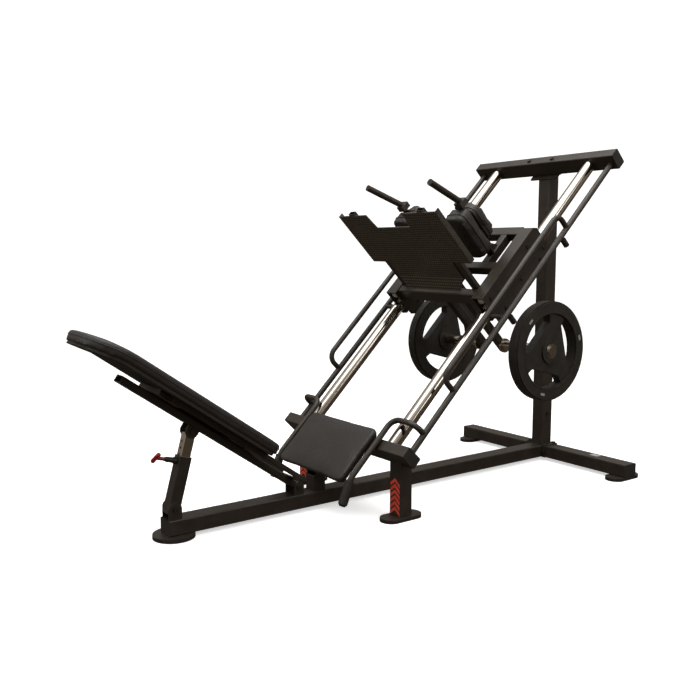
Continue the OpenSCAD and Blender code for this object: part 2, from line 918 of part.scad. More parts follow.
module horn_arms() {
    color(steel_black) on_sled() both_sides() translate([arm_x, arm_u, -horn_drop - 24])
        steel_tube(tube_low_n + horn_drop + 24, arm_w, arm_h);
}

// Chrome sleeves for the plates, with the stop ring at their foot
module weight_horns() {
    color(chrome) on_sled() both_sides() translate([0, arm_u, -horn_drop]) difference() {
        union() {
            pin_x(horn_base_x, horn_tip_x, horn_d);
            pin_x(horn_base_x, horn_base_x + collar_t, collar_d);
        }
        pin_x(horn_base_x - 1, horn_tip_x - 6, horn_d - 8);
    }
}

module roller_axles() {
    color(zinc) on_sled() both_sides() {
        for (u = top_axles) translate([0, u, axle_n]) roller_axle();
        for (u = low_axles) translate([0, u, -axle_n]) roller_axle();
    }
}

module roller_axle() {
    pin_x(inner_x - sheet_t - 6, outer_x + sheet_t, axle_d);
    translate([outer_x + sheet_t, 0, 0]) rotate([0, 90, 0]) hexagon(18, 6);
}

// Nylon roller with a round groove that fits the rail
module roller(u, n) {
    color(nylon) on_sled() translate([rail_x, u, n]) rotate([0, 90, 0])
        rotate_extrude() difference() {
            translate([axle_d / 2 + pin_gap, -roller_w / 2])
                square([roller_r + 5 - axle_d / 2, roller_w]);
            translate([roller_r + rail_r + run_gap, 0]) circle(r = rail_r + run_gap);
        }
}

module roller_right_1() { roller(top_axles[0], axle_n); }
module roller_right_2() { roller(top_axles[1], axle_n); }
module roller_right_3() { roller(low_axles[0], -axle_n); }
module roller_right_4() { roller(low_axles[1], -axle_n); }
module roller_left_1() { mirror([1, 0, 0]) roller_right_1(); }
module roller_left_2() { mirror([1, 0, 0]) roller_right_2(); }
module roller_left_3() { mirror([1, 0, 0]) roller_right_3(); }
module roller_left_4() { mirror([1, 0, 0]) roller_right_4(); }

// ---- Weight plates ----

module plate_window(rim_r) {
    intersection() {
        circle(r = rim_r);
        translate([plate_d * 0.215, -plate_d]) square([plate_d, 2 * plate_d]);
        polygon([[0, 0], [plate_d, plate_d * 0.92], [plate_d, -plate_d * 0.92]]);
    }
}

module weight_plate() {
    rim_r = plate_d * 0.37;
    color(rubber_black) on_sled() translate([0, arm_u, -horn_drop])
        translate([plate_out - plate_t, 0, 0]) rotate([0, 90, 0]) difference() {
            union() {
                translate([0, 0, 8]) cylinder(h = plate_t - 16, d = plate_d - 20);
                cylinder(h = plate_t, d = plate_d * 0.25);
                rotate_extrude() translate([rim_r + 4, 0]) square([plate_d / 2 - rim_r - 10, plate_t]);
                rotate_extrude() translate([plate_d / 2 - 20, 6]) square([20, plate_t - 12]);
            }
            translate([0, 0, -1]) cylinder(h = plate_t + 2, d = plate_bore);
            for (a = [0, 120, 240]) rotate([0, 0, 180 + a])
                translate([0, 0, -1]) linear_extrude(plate_t + 2) plate_window(rim_r);
        }
}

module weight_plate_right() { weight_plate(); }
module weight_plate_left() { mirror([1, 0, 0]) weight_plate(); }

// ---- Safety bars ----

// Studs fixed in the cross beams, which the bars turn on, with their stop rings
module pivot_studs() {
    color(chrome) on_rails() both_sides() translate([bar_x, 0, bar_n]) {
        translate([0, -wall, 0]) rotate([-90, 0, 0]) cylinder(h = stud_len + wall, d = stud_d);
        translate([0, rail_len - stud_len, 0]) rotate([-90, 0, 0])
            cylinder(h = stud_len + wall, d = stud_d);
    }
}

// Long grip beside the rail, in the plane of the bar
module long_grip() {
    h = grip_n - grip_bend - bar_n;
    in_side_plane(bar_x) {
        for (u = [grip_low_u, grip_high_u]) translate([u, bar_n, 0]) rotate([-90, 0, 0])
            cylinder(h = h, d = handle_d);
        translate([grip_low_u + grip_bend, grip_n - grip_bend, 0]) bend(handle_d, grip_bend, 90, 90);
        translate([grip_high_u - grip_bend, grip_n - grip_bend, 0]) bend(handle_d, grip_bend, 0, 90);
        translate([grip_low_u + grip_bend, grip_n, 0]) rotate([0, 90, 0])
            cylinder(h = grip_high_u - grip_low_u - 2 * grip_bend, d = handle_d);
    }
}

// Lever that arches over the rail and runs down beside the seat, with a weld ring at its turn
module seat_lever() {
    r = lever_bend;
    translate([bar_x, lever_u, bar_n]) cylinder(h = lever_n - r - bar_n, d = handle_d);
    translate([bar_x - r, lever_u, lever_n - r]) rotate([90, 0, 0]) bend(handle_d, r, 0, 90);
    translate([lever_x + r, lever_u, lever_n]) rotate([0, 90, 0])
        cylinder(h = bar_x - lever_x - 2 * r, d = handle_d);
    translate([lever_x + r, lever_u - r, lever_n]) bend(handle_d, r, 90, 90);
    translate([lever_x, lever_low_u, lever_n]) rotate([-90, 0, 0])
        cylinder(h = lever_u - r - lever_low_u, d = handle_d);
    in_side_plane(lever_x) translate([lever_low_u, lever_n - lever_turn_r, 0])
        bend(handle_d, lever_turn_r, 90, lever_turn);
    lever_end() cylinder(h = lever_grip_len - 4, d = handle_d);
    lever_end() translate([0, 0, -4]) cylinder(h = 8, d = handle_d + 1.6);
}

// Frame at the turned end of the lever, local Z along its grip
module lever_end() {
    in_side_plane(lever_x) translate([lever_low_u, lever_n - lever_turn_r, 0])
        rotate([0, 0, lever_turn]) translate([0, lever_turn_r, 0]) rotate([0, -90, 0]) children();
}

module safety_bar() {
    color(steel_black) on_rails() difference() {
        union() {
            translate([bar_x, bar_end_gap, bar_n]) rotate([-90, 0, 0])
                cylinder(h = rail_len - 2 * bar_end_gap, d = bar_d);
            long_grip();
            seat_lever();
            for (u = peg_us) translate([bar_x, u, peg_end + 4])
                cylinder(h = bar_n - peg_end - 4, d = peg_d);
            translate([0, sled_u - catch_d / 2 - run_gap, bar_n]) pin_x(catch_x, bar_x, catch_d);
        }
        translate([bar_x, -1, bar_n]) rotate([-90, 0, 0])
            cylinder(h = stud_len + 2, d = stud_d + 2 * pin_gap);
        translate([bar_x, rail_len - stud_len - 1, bar_n]) rotate([-90, 0, 0])
            cylinder(h = stud_len + 2, d = stud_d + 2 * pin_gap);
    }
}

module safety_bar_right() { safety_bar(); }
module safety_bar_left() { mirror([1, 0, 0]) safety_bar(); }

// Rubber grip on the lever and rubber sleeves on the pegs
module rubbers() {
    color(rubber_black) on_rails() {
        lever_end() difference() {
            union() {
                translate([0, 0, 6]) cylinder(h = lever_grip_len - 16, d = lever_grip_d);
                translate([0, 0, lever_grip_len - 10])
                    cylinder(h = 10, d1 = lever_grip_d, d2 = lever_grip_d - 16);
            }
            translate([0, 0, -1]) cylinder(h = lever_grip_len - 3, d = handle_d + 2 * pin_gap);
        }
        for (u = peg_us) translate([bar_x, u, peg_end]) difference() {
            cylinder(h = peg_sleeve_top - peg_end, d = peg_sleeve_d);
            translate([0, 0, 4]) cylinder(h = peg_sleeve_top - peg_end, d = peg_d + 2 * pin_gap);
        }
    }
}

module bar_rubbers_right() { rubbers(); }
module bar_rubbers_left() { mirror([1, 0, 0]) rubbers(); }

base_tube();
rear_beam();
end_caps();
foot_plates();
foot_pads();
joint_flanges();
rear_post();
top_beam();
lower_beam();
side_posts();
guide_rails();
frame_bolts();
chevron_decals();
seat_post();
seat_board();
seat_cushion();
backrest_bracket();
strut_bracket();
pivot_studs();
hinge_pins();
backrest_beam();
backrest_frame();
backrest_board();
backrest_cushion();
strut_lugs();
strut_upper_pin();
strut_outer();
pin_barrel();
strut_inner();
pull_pin();
pull_handle();
carriage_sheets();
carriage_webs();
sled_cross_tubes();
sled_carriers();
foot_plate();
foot_plate_uprights();
shoulder_brackets();
shoulder_cushion_right();
shoulder_cushion_left();
neck_pads();
shoulder_handles();
horn_arms();
weight_horns();
roller_axles();
roller_right_1();
roller_right_2();
roller_right_3();
roller_right_4();
roller_left_1();
roller_left_2();
roller_left_3();
roller_left_4();
weight_plate_right();
weight_plate_left();
safety_bar_right();
safety_bar_left();
bar_rubbers_right();
bar_rubbers_left();
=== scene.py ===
"""Plate loaded leg press machine: finishes, upholstery, lights and camera."""

import json
import math

import bmesh
import bpy
from mathutils import Matrix, Vector
from mathutils.bvhtree import BVHTree


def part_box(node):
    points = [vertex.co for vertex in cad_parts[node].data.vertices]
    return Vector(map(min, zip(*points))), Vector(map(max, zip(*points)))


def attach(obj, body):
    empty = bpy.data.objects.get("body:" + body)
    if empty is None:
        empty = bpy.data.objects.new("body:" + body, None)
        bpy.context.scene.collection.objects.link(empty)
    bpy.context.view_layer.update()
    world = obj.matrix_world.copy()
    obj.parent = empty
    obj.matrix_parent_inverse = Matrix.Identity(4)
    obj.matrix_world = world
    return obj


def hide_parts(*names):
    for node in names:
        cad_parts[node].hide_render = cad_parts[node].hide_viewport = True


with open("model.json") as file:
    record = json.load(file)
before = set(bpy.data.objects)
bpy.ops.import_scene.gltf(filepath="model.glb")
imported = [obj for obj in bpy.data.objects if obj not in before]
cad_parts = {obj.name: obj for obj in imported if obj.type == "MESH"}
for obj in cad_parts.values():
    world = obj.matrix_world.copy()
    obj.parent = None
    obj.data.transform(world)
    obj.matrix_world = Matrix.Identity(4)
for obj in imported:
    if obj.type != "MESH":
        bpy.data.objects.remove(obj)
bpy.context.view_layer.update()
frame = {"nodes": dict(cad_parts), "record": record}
NODES = frame["nodes"]
RECORD = frame["record"]
MM = 0.001

# ---------------------------------------------------------------- directions and anchors

SLOPE = math.radians(45)
RAIL_UP = Vector((0, math.cos(SLOPE), math.sin(SLOPE)))
RAIL_OUT = Vector((0, -math.sin(SLOPE), math.cos(SLOPE)))
BACK_SLOPE = math.radians(35)
BACK_UP = Vector((0, -math.cos(BACK_SLOPE), math.sin(BACK_SLOPE)))
BACK_OUT = Vector((0, math.sin(BACK_SLOPE), math.cos(BACK_SLOPE)))
SIDE = Vector((1, 0, 0))


def centre(node):
    """Middle of a CAD node's box."""
    low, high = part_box(node)
    return (Vector(low) + Vector(high)) / 2


def joint_place(name):
    """Pivot point of a joint in the record."""
    joints = RECORD["behaviour"]["joints"]
    return Vector(next(j["pos_m"] for j in joints if j["name"] == name))


HALF_BEAM = 25
RAIL_FOOT = centre("lower_beam") + RAIL_UP * HALF_BEAM * MM
HINGE = joint_place("backrest_hinge")


def on_rail(x, u, n):
    """Point beside the rails: x across, u up the rails and n out of their plane, in millimetres."""
    return RAIL_FOOT + SIDE * x * MM + RAIL_UP * u * MM + RAIL_OUT * n * MM


def on_back(x, t, n):
    """Point on the backrest: x across, t up from the hinge and n out of its face, in millimetres."""
    return HINGE + SIDE * x * MM + BACK_UP * t * MM + BACK_OUT * n * MM


# ---------------------------------------------------------------- colours and nodes


def linear(code):
    """Linear RGBA of an sRGB hex colour."""
    out = []
    for i in (0, 2, 4):
        c = int(code[i : i + 2], 16) / 255
        out.append(c / 12.92 if c <= 0.04045 else ((c + 0.055) / 1.055) ** 2.4)
    return (*out, 1.0)


def add(tree, kind, links=None, **values):
    """Adds a node, sets its properties or input values, and links its inputs."""
    node = tree.nodes.new(kind)
    for key, value in values.items():
        if hasattr(node, key):
            setattr(node, key, value)
        else:
            node.inputs[key].default_value = value
    for key, socket in (links or {}).items():
        tree.links.new(socket, node.inputs[key])
    return node


def ramp(tree, socket, low, high, low_colour, high_colour):
    """Colour ramp between two positions."""
    node = add(tree, "ShaderNodeValToRGB", {"Fac": socket})
    node.color_ramp.elements[0].position = low
    node.color_ramp.elements[1].position = high
    node.color_ramp.elements[0].color = low_colour
    node.color_ramp.elements[1].color = high_colour
    return node.outputs["Color"]


def remap(tree, socket, low, high, out_low, out_high):
    """Rescales a value."""
    node = add(tree, "ShaderNodeMapRange", {"Value": socket})
    for name, value in (("From Min", low), ("From Max", high), ("To Min", out_low), ("To Max", out_high)):
        node.inputs[name].default_value = value
    return node.outputs["Result"]


def start_material(name):
    """New material with its tree, shader and object coordinates."""
    material = bpy.data.materials.new(name)
    material.use_nodes = True
    tree = material.node_tree
    shader = tree.nodes["Principled BSDF"]
    coords = add(tree, "ShaderNodeTexCoord").outputs["Object"]
    return material, tree, shader, coords


def noise(tree, coords, size_mm, detail=3.0, rough=0.5):
    """Noise whose features are about size_mm across."""
    node = add(tree, "ShaderNodeTexNoise", {"Vector": coords}, Scale=1000.0 / size_mm, Detail=detail)
    node.inputs["Roughness"].default_value = rough
    return node.outputs["Fac"]


def bump(tree, height, depth_mm, normal=None, strength=1.0):
    """Bump of a 0 to 1 height, depth_mm deep."""
    node = add(tree, "ShaderNodeBump", {"Height": height})
    node.inputs["Distance"].default_value = depth_mm * MM
    node.inputs["Strength"].default_value = strength
    if normal is not None:
        tree.links.new(normal, node.inputs["Normal"])
    return node.outputs["Normal"]


def worn_edges(tree, colour, bare, radius_mm=1.2, amount=0.55):
    """Mixes a bare colour in along sharp edges, where paint thins and rubs."""
    bevel = add(tree, "ShaderNodeBevel", samples=4)
    bevel.inputs["Radius"].default_value = radius_mm * MM
    geometry = add(tree, "ShaderNodeNewGeometry")
    dot = add(tree, "ShaderNodeVectorMath", operation="DOT_PRODUCT")
    tree.links.new(bevel.outputs["Normal"], dot.inputs[0])
    tree.links.new(geometry.outputs["Normal"], dot.inputs[1])
    edge = remap(tree, dot.outputs["Value"], 0.97, 0.80, 0.0, amount)
    mix = add(tree, "ShaderNodeMix", data_type="RGBA")
    tree.links.new(edge, mix.inputs["Factor"])
    tree.links.new(colour, mix.inputs[6])
    mix.inputs[7].default_value = bare
    return mix.outputs[2]


def powder_coat():
    """Black polyester powder coat on steel: fine orange peel, edges a little paler."""
    material, tree, shader, coords = start_material("black_powder_coat")
    cloud = noise(tree, coords, 60, 2.0)
    base = ramp(tree, cloud, 0.3, 0.7, linear("2C261F"), linear("373028"))
    tree.links.new(worn_edges(tree, base, linear("5A5146")), shader.inputs["Base Color"])
    peel = noise(tree, coords, 1.6, 2.0)
    tree.links.new(bump(tree, peel, 0.06), shader.inputs["Normal"])
    tree.links.new(remap(tree, cloud, 0.3, 0.7, 0.36, 0.46), shader.inputs["Roughness"])
    shader.inputs["Specular IOR Level"].default_value = 0.5
    return material


def chrome():
    """Hard chrome on ground tube: mirror finish with faint cross grinding marks."""
    material, tree, shader, coords = start_material("chrome")
    shader.inputs["Metallic"].default_value = 1.0
    shader.inputs["Base Color"].default_value = linear("C6BDB1")
    cloud = noise(tree, coords, 25, 4.0)
    tree.links.new(remap(tree, cloud, 0.3, 0.7, 0.07, 0.13), shader.inputs["Roughness"])
    tree.links.new(bump(tree, noise(tree, coords, 0.8, 2.0), 0.004), shader.inputs["Normal"])
    return material


def zinc():
    """Zinc plated steel: soft, slightly cloudy metal."""
    material, tree, shader, coords = start_material("zinc_steel")
    shader.inputs["Metallic"].default_value = 1.0
    cloud = noise(tree, coords, 6, 3.0)
    tree.links.new(ramp(tree, cloud, 0.3, 0.7, linear("77756F"), linear("93918B")), shader.inputs["Base Color"])
    tree.links.new(remap(tree, cloud, 0.3, 0.7, 0.28, 0.42), shader.inputs["Roughness"])
    tree.links.new(bump(tree, noise(tree, coords, 0.7), 0.02), shader.inputs["Normal"])
    return material


def black_oxide():
    """Black zinc bolts and nuts, slightly shiny."""
    material, tree, shader, coords = start_material("black_zinc_bolts")
    shader.inputs["Metallic"].default_value = 0.6
    cloud = noise(tree, coords, 5, 3.0)
    tree.links.new(ramp(tree, cloud, 0.3, 0.7, linear("34322E"), linear("4A4741")), shader.inputs["Base Color"])
    shader.inputs["Roughness"].default_value = 0.34
    tree.links.new(bump(tree, noise(tree, coords, 0.8), 0.02), shader.inputs["Normal"])
    return material


def rubber(name, dark, pale, grain_mm=0.9, depth=0.07, rough=0.62):
    """Moulded rubber: matte, finely grained, with paler dusty patches."""
    material, tree, shader, coords = start_material(name)
    cloud = noise(tree, coords, 35, 3.0)
    tree.links.new(ramp(tree, cloud, 0.35, 0.75, linear(dark), linear(pale)), shader.inputs["Base Color"])
    tree.links.new(bump(tree, noise(tree, coords, grain_mm, 2.0), depth), shader.inputs["Normal"])
    tree.links.new(remap(tree, cloud, 0.3, 0.7, rough - 0.06, rough + 0.08), shader.inputs["Roughness"])
    return material


def vinyl():
    """Upholstery vinyl, embossed: small pebble grain over soft creases, very dark brown, a satin shine."""
    material, tree, shader, coords = start_material("vinyl")
    cells = add(tree, "ShaderNodeTexVoronoi", {"Vector": coords}, feature="DISTANCE_TO_EDGE")
    cells.inputs["Scale"].default_value = 620.0
    pebble = remap(tree, cells.outputs["Distance"], 0.0, 0.25, 0.0, 1.0)
    creases = noise(tree, coords, 14, 4.0, 0.6)
    fine = bump(tree, pebble, 0.09)
    tree.links.new(bump(tree, creases, 0.35, fine, 0.5), shader.inputs["Normal"])
    cloud = noise(tree, coords, 80, 2.0)
    tree.links.new(ramp(tree, cloud, 0.3, 0.7, linear("221D19"), linear("2B2520")), shader.inputs["Base Color"])
    tree.links.new(remap(tree, creases, 0.3, 0.7, 0.42, 0.54), shader.inputs["Roughness"])
    shader.inputs["Sheen Weight"].default_value = 0.05
    return material


def backing_board():
    """Plywood covered with a coarse dark brown backing cloth."""
    material, tree, shader, coords = start_material("board_backing_cloth")
    weave = []
    for axis in ("X", "Y"):
        wave = add(tree, "ShaderNodeTexWave", {"Vector": coords}, wave_type="BANDS", bands_direction=axis)
        wave.inputs["Scale"].default_value = 160.0
        wave.inputs["Distortion"].default_value = 0.6
        weave.append(wave.outputs["Fac"])
    high = add(tree, "ShaderNodeMath", operation="MAXIMUM")
    tree.links.new(weave[0], high.inputs[0])
    tree.links.new(weave[1], high.inputs[1])
    tree.links.new(bump(tree, high.outputs[0], 0.2), shader.inputs["Normal"])
    cloud = noise(tree, coords, 30, 4.0)
    tree.links.new(ramp(tree, cloud, 0.3, 0.7, linear("241E19"), linear("312922")), shader.inputs["Base Color"])
    shader.inputs["Roughness"].default_value = 0.85
    return material


def moulded(name, dark, pale, rough, grain_mm=0.7, depth=0.03, coat=0.0):
    """Moulded plastic with a fine spark-eroded grain."""
    material, tree, shader, coords = start_material(name)
    cloud = noise(tree, coords, 18, 3.0)
    tree.links.new(ramp(tree, cloud, 0.3, 0.7, linear(dark), linear(pale)), shader.inputs["Base Color"])
    tree.links.new(bump(tree, noise(tree, coords, grain_mm), depth), shader.inputs["Normal"])
    tree.links.new(remap(tree, cloud, 0.3, 0.7, rough - 0.04, rough + 0.04), shader.inputs["Roughness"])
    shader.inputs["Coat Weight"].default_value = coat
    return material


def tread_plate():
    """Black coated tread plate: raised lozenges laid both ways across the sheet, with a painted highlight that
    makes their tops paler. Their real pitch is nearer 14 mm; it is drawn coarser so that it shows."""
    material, tree, shader, coords = start_material("tread_plate")
    turn = add(tree, "ShaderNodeVectorRotate", {"Vector": coords}, rotation_type="X_AXIS")
    turn.inputs["Angle"].default_value = -SLOPE
    split = add(tree, "ShaderNodeSeparateXYZ", {"Vector": turn.outputs["Vector"]})
    pitch = 26 * MM

    def wave_of(sign):
        """Cosine bands along one diagonal of the sheet."""
        signed = add(tree, "ShaderNodeMath", {0: split.outputs["Z"]}, operation="MULTIPLY")
        signed.inputs[1].default_value = sign
        total = add(tree, "ShaderNodeMath", {0: split.outputs["X"], 1: signed.outputs[0]}, operation="ADD")
        phase = add(tree, "ShaderNodeMath", {0: total.outputs[0]}, operation="MULTIPLY")
        phase.inputs[1].default_value = 2 * math.pi / pitch
        return add(tree, "ShaderNodeMath", {0: phase.outputs[0]}, operation="COSINE").outputs[0]

    cross = add(tree, "ShaderNodeMath", {0: wave_of(1.0), 1: wave_of(-1.0)}, operation="MULTIPLY")
    raised = remap(tree, cross.outputs[0], 0.2, 0.45, 0.0, 1.0)
    peel = noise(tree, coords, 1.6, 2.0)
    tree.links.new(bump(tree, raised, 1.2, bump(tree, peel, 0.06)), shader.inputs["Normal"])
    rub = noise(tree, coords, 45, 4.0, 0.6)
    base = ramp(tree, rub, 0.3, 0.7, linear("2E281F"), linear("3B342A"))
    # Painted highlight: the raised lozenge tops are mixed up to 0.85 toward a pale colour, standing in for light
    # falling on them
    mix = add(tree, "ShaderNodeMix", data_type="RGBA")
    tree.links.new(remap(tree, raised, 0.0, 1.0, 0.0, 0.85), mix.inputs["Factor"])
    tree.links.new(base, mix.inputs[6])
    mix.inputs[7].default_value = linear("7C7160")
    tree.links.new(worn_edges(tree, mix.outputs[2], linear("4C463C")), shader.inputs["Base Color"])
    tree.links.new(remap(tree, rub, 0.3, 0.7, 0.40, 0.52), shader.inputs["Roughness"])
    return material


FINISH = {
    "black_powder_coat": powder_coat(),
    "chrome": chrome(),
    "zinc_steel": zinc(),
    "black_rubber": rubber("black_rubber", "1D1A17", "26221E"),
    "plate_rubber": rubber("plate_rubber", "24201B", "302B25", 1.1, 0.08, 0.5),
    "vinyl": vinyl(),
    "board": backing_board(),
    "black_plastic": moulded("black_plastic_caps", "211F1B", "2C2924", 0.6, 1.4, 0.12),
    "red_plastic": moulded("red_handle_plastic", "B20E1E", "C41526", 0.32, 1.5, 0.01, 0.3),
    "red_film": moulded("red_reflective_film", "DE4A3A", "EE5B48", 0.42, 1.2, 0.02, 0.2),
    "white_nylon": moulded("white_nylon", "C9C7C0", "DAD8D2", 0.42, 2.0, 0.01),
}
BOLTS = black_oxide()
TREAD = tread_plate()

for entry in RECORD["subparts"]:
    node_object = NODES[entry["node"]]
    finish = FINISH[entry["material_slot"]]
    if entry["node"] in ("frame_bolts", "hinge_pins", "strut_upper_pin", "roller_axles"):
        finish = BOLTS
    if entry["node"] == "foot_plate":
        finish = TREAD
    for place in node_object.material_slots:
        place.material = finish
    if not node_object.material_slots:
        node_object.data.materials.append(finish)

# ---------------------------------------------------------------- mesh helpers


def new_object(name, mesh, body, material):
    """Object at the origin that rides on a body."""
    thing = bpy.data.objects.new(name, mesh)
    bpy.context.scene.collection.objects.link(thing)
    thing.data.materials.clear()
    thing.data.materials.append(material)
    if body:
        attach(thing, body)
    return thing


def finish_mesh(bm, name, smooth=True):
    """Mesh from a bmesh, normals outward."""
    bmesh.ops.recalc_face_normals(bm, faces=bm.faces[:])
    mesh = bpy.data.meshes.new(name)
    bm.to_mesh(mesh)
    bm.free()
    for face in mesh.polygons:
        face.use_smooth = smooth
    return mesh


def arc(cx, cy, radius, start, end, count=8):
    """Points on an arc, angles in degrees."""
    out = []
    for i in range(count + 1):
        a = math.radians(start + (end - start) * i / count)
        out.append((cx + radius * math.cos(a), cy + radius * math.sin(a)))
    return out


def rounded_box(w, h, radius):
    """Rounded rectangle round the origin, in millimetres."""
    x, y = w / 2 - radius, h / 2 - radius
    return (
        arc(x, y, radius, 0, 90)
        + arc(-x, y, radius, 90, 180)
        + arc(-x, -y, radius, 180, 270)
        + arc(x, -y, radius, 270, 360)
    )


def back_outline(w, length, radius, head):
    """Backrest seen from above: small corners at the lower end, a round head."""
    x, xh = w / 2 - radius, w / 2 - head
    return (
        arc(xh, length - head, head, 0, 90, 18)
        + arc(-xh, length - head, head, 90, 180, 18)
        + arc(-x, radius, radius, 180, 270)
        + arc(x, radius, radius, 270, 360)
    )


def tube(name, points, radius_mm, body, material, closed=True):
    """Round cord along points."""
    curve = bpy.data.curves.new(name, "CURVE")
    curve.dimensions = "3D"
    line = curve.splines.new("POLY")
    line.points.add(len(points) - 1)
    for spot, p in zip(line.points, points):
        spot.co = (*p, 1.0)
    line.use_cyclic_u = closed
    curve.bevel_depth = radius_mm * MM
    curve.bevel_resolution = 3
    curve.use_fill_caps = not closed
    helper = bpy.data.objects.new(name + "_path", curve)
    bpy.context.scene.collection.objects.link(helper)
    bpy.context.view_layer.update()
    shown = helper.evaluated_get(bpy.context.evaluated_depsgraph_get())
    mesh = bpy.data.meshes.new_from_object(shown)
    bpy.data.objects.remove(helper)
    for face in mesh.polygons:
        face.use_smooth = True
    return new_object(name, mesh, body, material)


# ---------------------------------------------------------------- cushions


def voxel_copy(source, size_mm):
    """Evenly meshed copy of an object's mesh."""
    step = source.modifiers.new("even", "REMESH")
    step.mode = "VOXEL"
    step.voxel_size = size_mm * MM
    bpy.context.view_layer.update()
    shown = source.evaluated_get(bpy.context.evaluated_depsgraph_get())
    mesh = bpy.data.meshes.new_from_object(shown)
    source.modifiers.remove(step)
    return mesh


def inflate(mesh, swell_mm):
    """Blows a closed mesh up as cloth, then scales the swelling to at most swell_mm."""
    thing = bpy.data.objects.new("swelling", mesh)
    bpy.context.scene.collection.objects.link(thing)
    rest = [v.co.copy() for v in mesh.vertices]
    cloth = thing.modifiers.new("cloth", "CLOTH")
    cloth.settings.quality = 4
    cloth.settings.mass = 0.4
    cloth.settings.tension_stiffness = 18
    cloth.settings.compression_stiffness = 18
    cloth.settings.bending_stiffness = 0.6
    cloth.settings.use_pressure = True
    cloth.settings.uniform_pressure_force = 4.0
    cloth.settings.effector_weights.gravity = 0.0
    cloth.collision_settings.use_collision = False
    cloth.point_cache.frame_start = 1
    cloth.point_cache.frame_end = 20
    scene = bpy.context.scene
    for step in range(1, 21):
        scene.frame_set(step)
    shown = thing.evaluated_get(bpy.context.evaluated_depsgraph_get())
    swollen = [v.co.copy() for v in shown.data.vertices]
    scene.frame_set(1)
    bpy.data.objects.remove(thing)
    most = max((a - b).length for a, b in zip(swollen, rest))
    share = swell_mm * MM / max(most, 1e-9)
    for vertex, a, b in zip(mesh.vertices, swollen, rest):
        vertex.co = b + (a - b) * share
    return mesh


def pad(name, outline, thick, place, body, node, swell, soft_edge, voxel=5.0):
    """Upholstered pad. Local x, y lie in its face and z, from 0 to thick, leaves its board; place maps
    local millimetres to the row frame. Returns the object and its local mesh."""
    inset = swell * 0.55
    bm = bmesh.new()
    cx = sum(p[0] for p in outline) / len(outline)
    cy = sum(p[1] for p in outline) / len(outline)
    half_w = max(abs(p[0] - cx) for p in outline)
    half_h = max(abs(p[1] - cy) for p in outline)
    kx, ky = (half_w - inset) / half_w, (half_h - inset) / half_h
    low = [bm.verts.new(((cx + (x - cx) * kx) * MM, (cy + (y - cy) * ky) * MM, 0)) for x, y in outline]
    bmesh.ops.remove_doubles(bm, verts=low, dist=1e-5)
    face = bm.faces.new([v for v in low if v.is_valid])
    raised = bmesh.ops.extrude_face_region(bm, geom=[face])["geom"]
    top = [g for g in raised if isinstance(g, bmesh.types.BMVert)]
    for vertex in top:
        vertex.co.z = (thick - swell * 0.9) * MM
    rim = [e for e in bm.edges if all(v.co.z > 1e-6 for v in e.verts)]
    bmesh.ops.bevel(
        bm, geom=rim, offset=soft_edge * MM, segments=4, profile=0.5, affect="EDGES", material=-1
    )
    mesh = finish_mesh(bm, name)
    source = bpy.data.objects.new(name + "_block", mesh)
    bpy.context.scene.collection.objects.link(source)
    even = voxel_copy(source, voxel)
    bpy.data.objects.remove(source)
    inflate(even, swell)
    for vertex in even.vertices:
        vertex.co.z = max(vertex.co.z, 0.0)
    local = [v.co.copy() for v in even.vertices]
    flat = BVHTree.FromPolygons(local, [tuple(p.vertices) for p in even.polygons])
    for vertex in even.vertices:
        vertex.co = place(*(c / MM for c in vertex.co))
    bm = bmesh.new()
    bm.from_mesh(even)
    even = finish_mesh(bm, name)
    thing = new_object(name, even, body, FINISH["vinyl"])
    thing.modifiers.new("smooth", "SUBSURF").levels = 1
    thing.modifiers["smooth"].render_levels = 1
    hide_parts(node)
    return thing, flat


def side_loop(flat, outline, height, place, out=0.0):
    """Points round a pad's side at a height above its board, found on its swollen surface."""
    cx = sum(p[0] for p in outline) / len(outline)
    cy = sum(p[1] for p in outline) / len(outline)
    points = []
    count = len(outline)
    for i in range(count):
        x, y = outline[i]
        ahead, behind = outline[(i + 1) % count], outline[i - 1]
        along = Vector((ahead[0] - behind[0], ahead[1] - behind[1], 0))
        if along.length < 1e-6:
            continue
        normal = Vector((along.y, -along.x, 0)).normalized()
        start = Vector((x, y, height)) * MM + normal * 0.04
        hit = flat.ray_cast(start, -normal, 0.09)[0]
        if hit is None:
            continue
        hit = hit + normal * out * MM
        points.append(place(*(c / MM for c in hit)))
    return points


def dense(outline, step=12.0):
    """Outline with extra points along its straight runs, and no repeats."""
    out = []
    for i, (x, y) in enumerate(outline):
        ax, ay = outline[(i + 1) % len(outline)]
        length = math.hypot(ax - x, ay - y)
        if length < 0.01:
            continue
        parts = max(1, int(length / step))
        for k in range(parts):
            out.append((x + (ax - x) * k / parts, y + (ay - y) * k / parts))
    return out


SEAT_WIDTH, SEAT_LENGTH, SEAT_THICK, SEAT_CORNER = 468, 270, 30, 24
seat_mid = centre("seat_cushion") - RAIL_OUT * SEAT_THICK / 2 * MM


def seat_place(x, y, z):
    """Seat pad: x across, y up the rails, z out from its board."""
    return seat_mid + (SIDE * x + RAIL_UP * y + RAIL_OUT * z) * MM


seat_shape = dense(rounded_box(SEAT_WIDTH, SEAT_LENGTH, SEAT_CORNER))
_, seat_flat = pad("seat_pad", seat_shape, SEAT_THICK, seat_place, "frame", "seat_cushion", 7, 9)
seam_line = side_loop(seat_flat, seat_shape, SEAT_THICK / 2, seat_place, 0.2)
tube("seat_seam", seam_line, 1.3, "frame", FINISH["vinyl"], True)

BEND_AT, BEND, BEND_REACH = 738.0, math.radians(10), 60.0
BACK_WIDTH, BACK_LENGTH, BACK_THICK, BACK_CORNER, HEAD_RADIUS = 320, 880, 47, 30, 134
BACK_LOW, BOARD_TOP = 235, 49


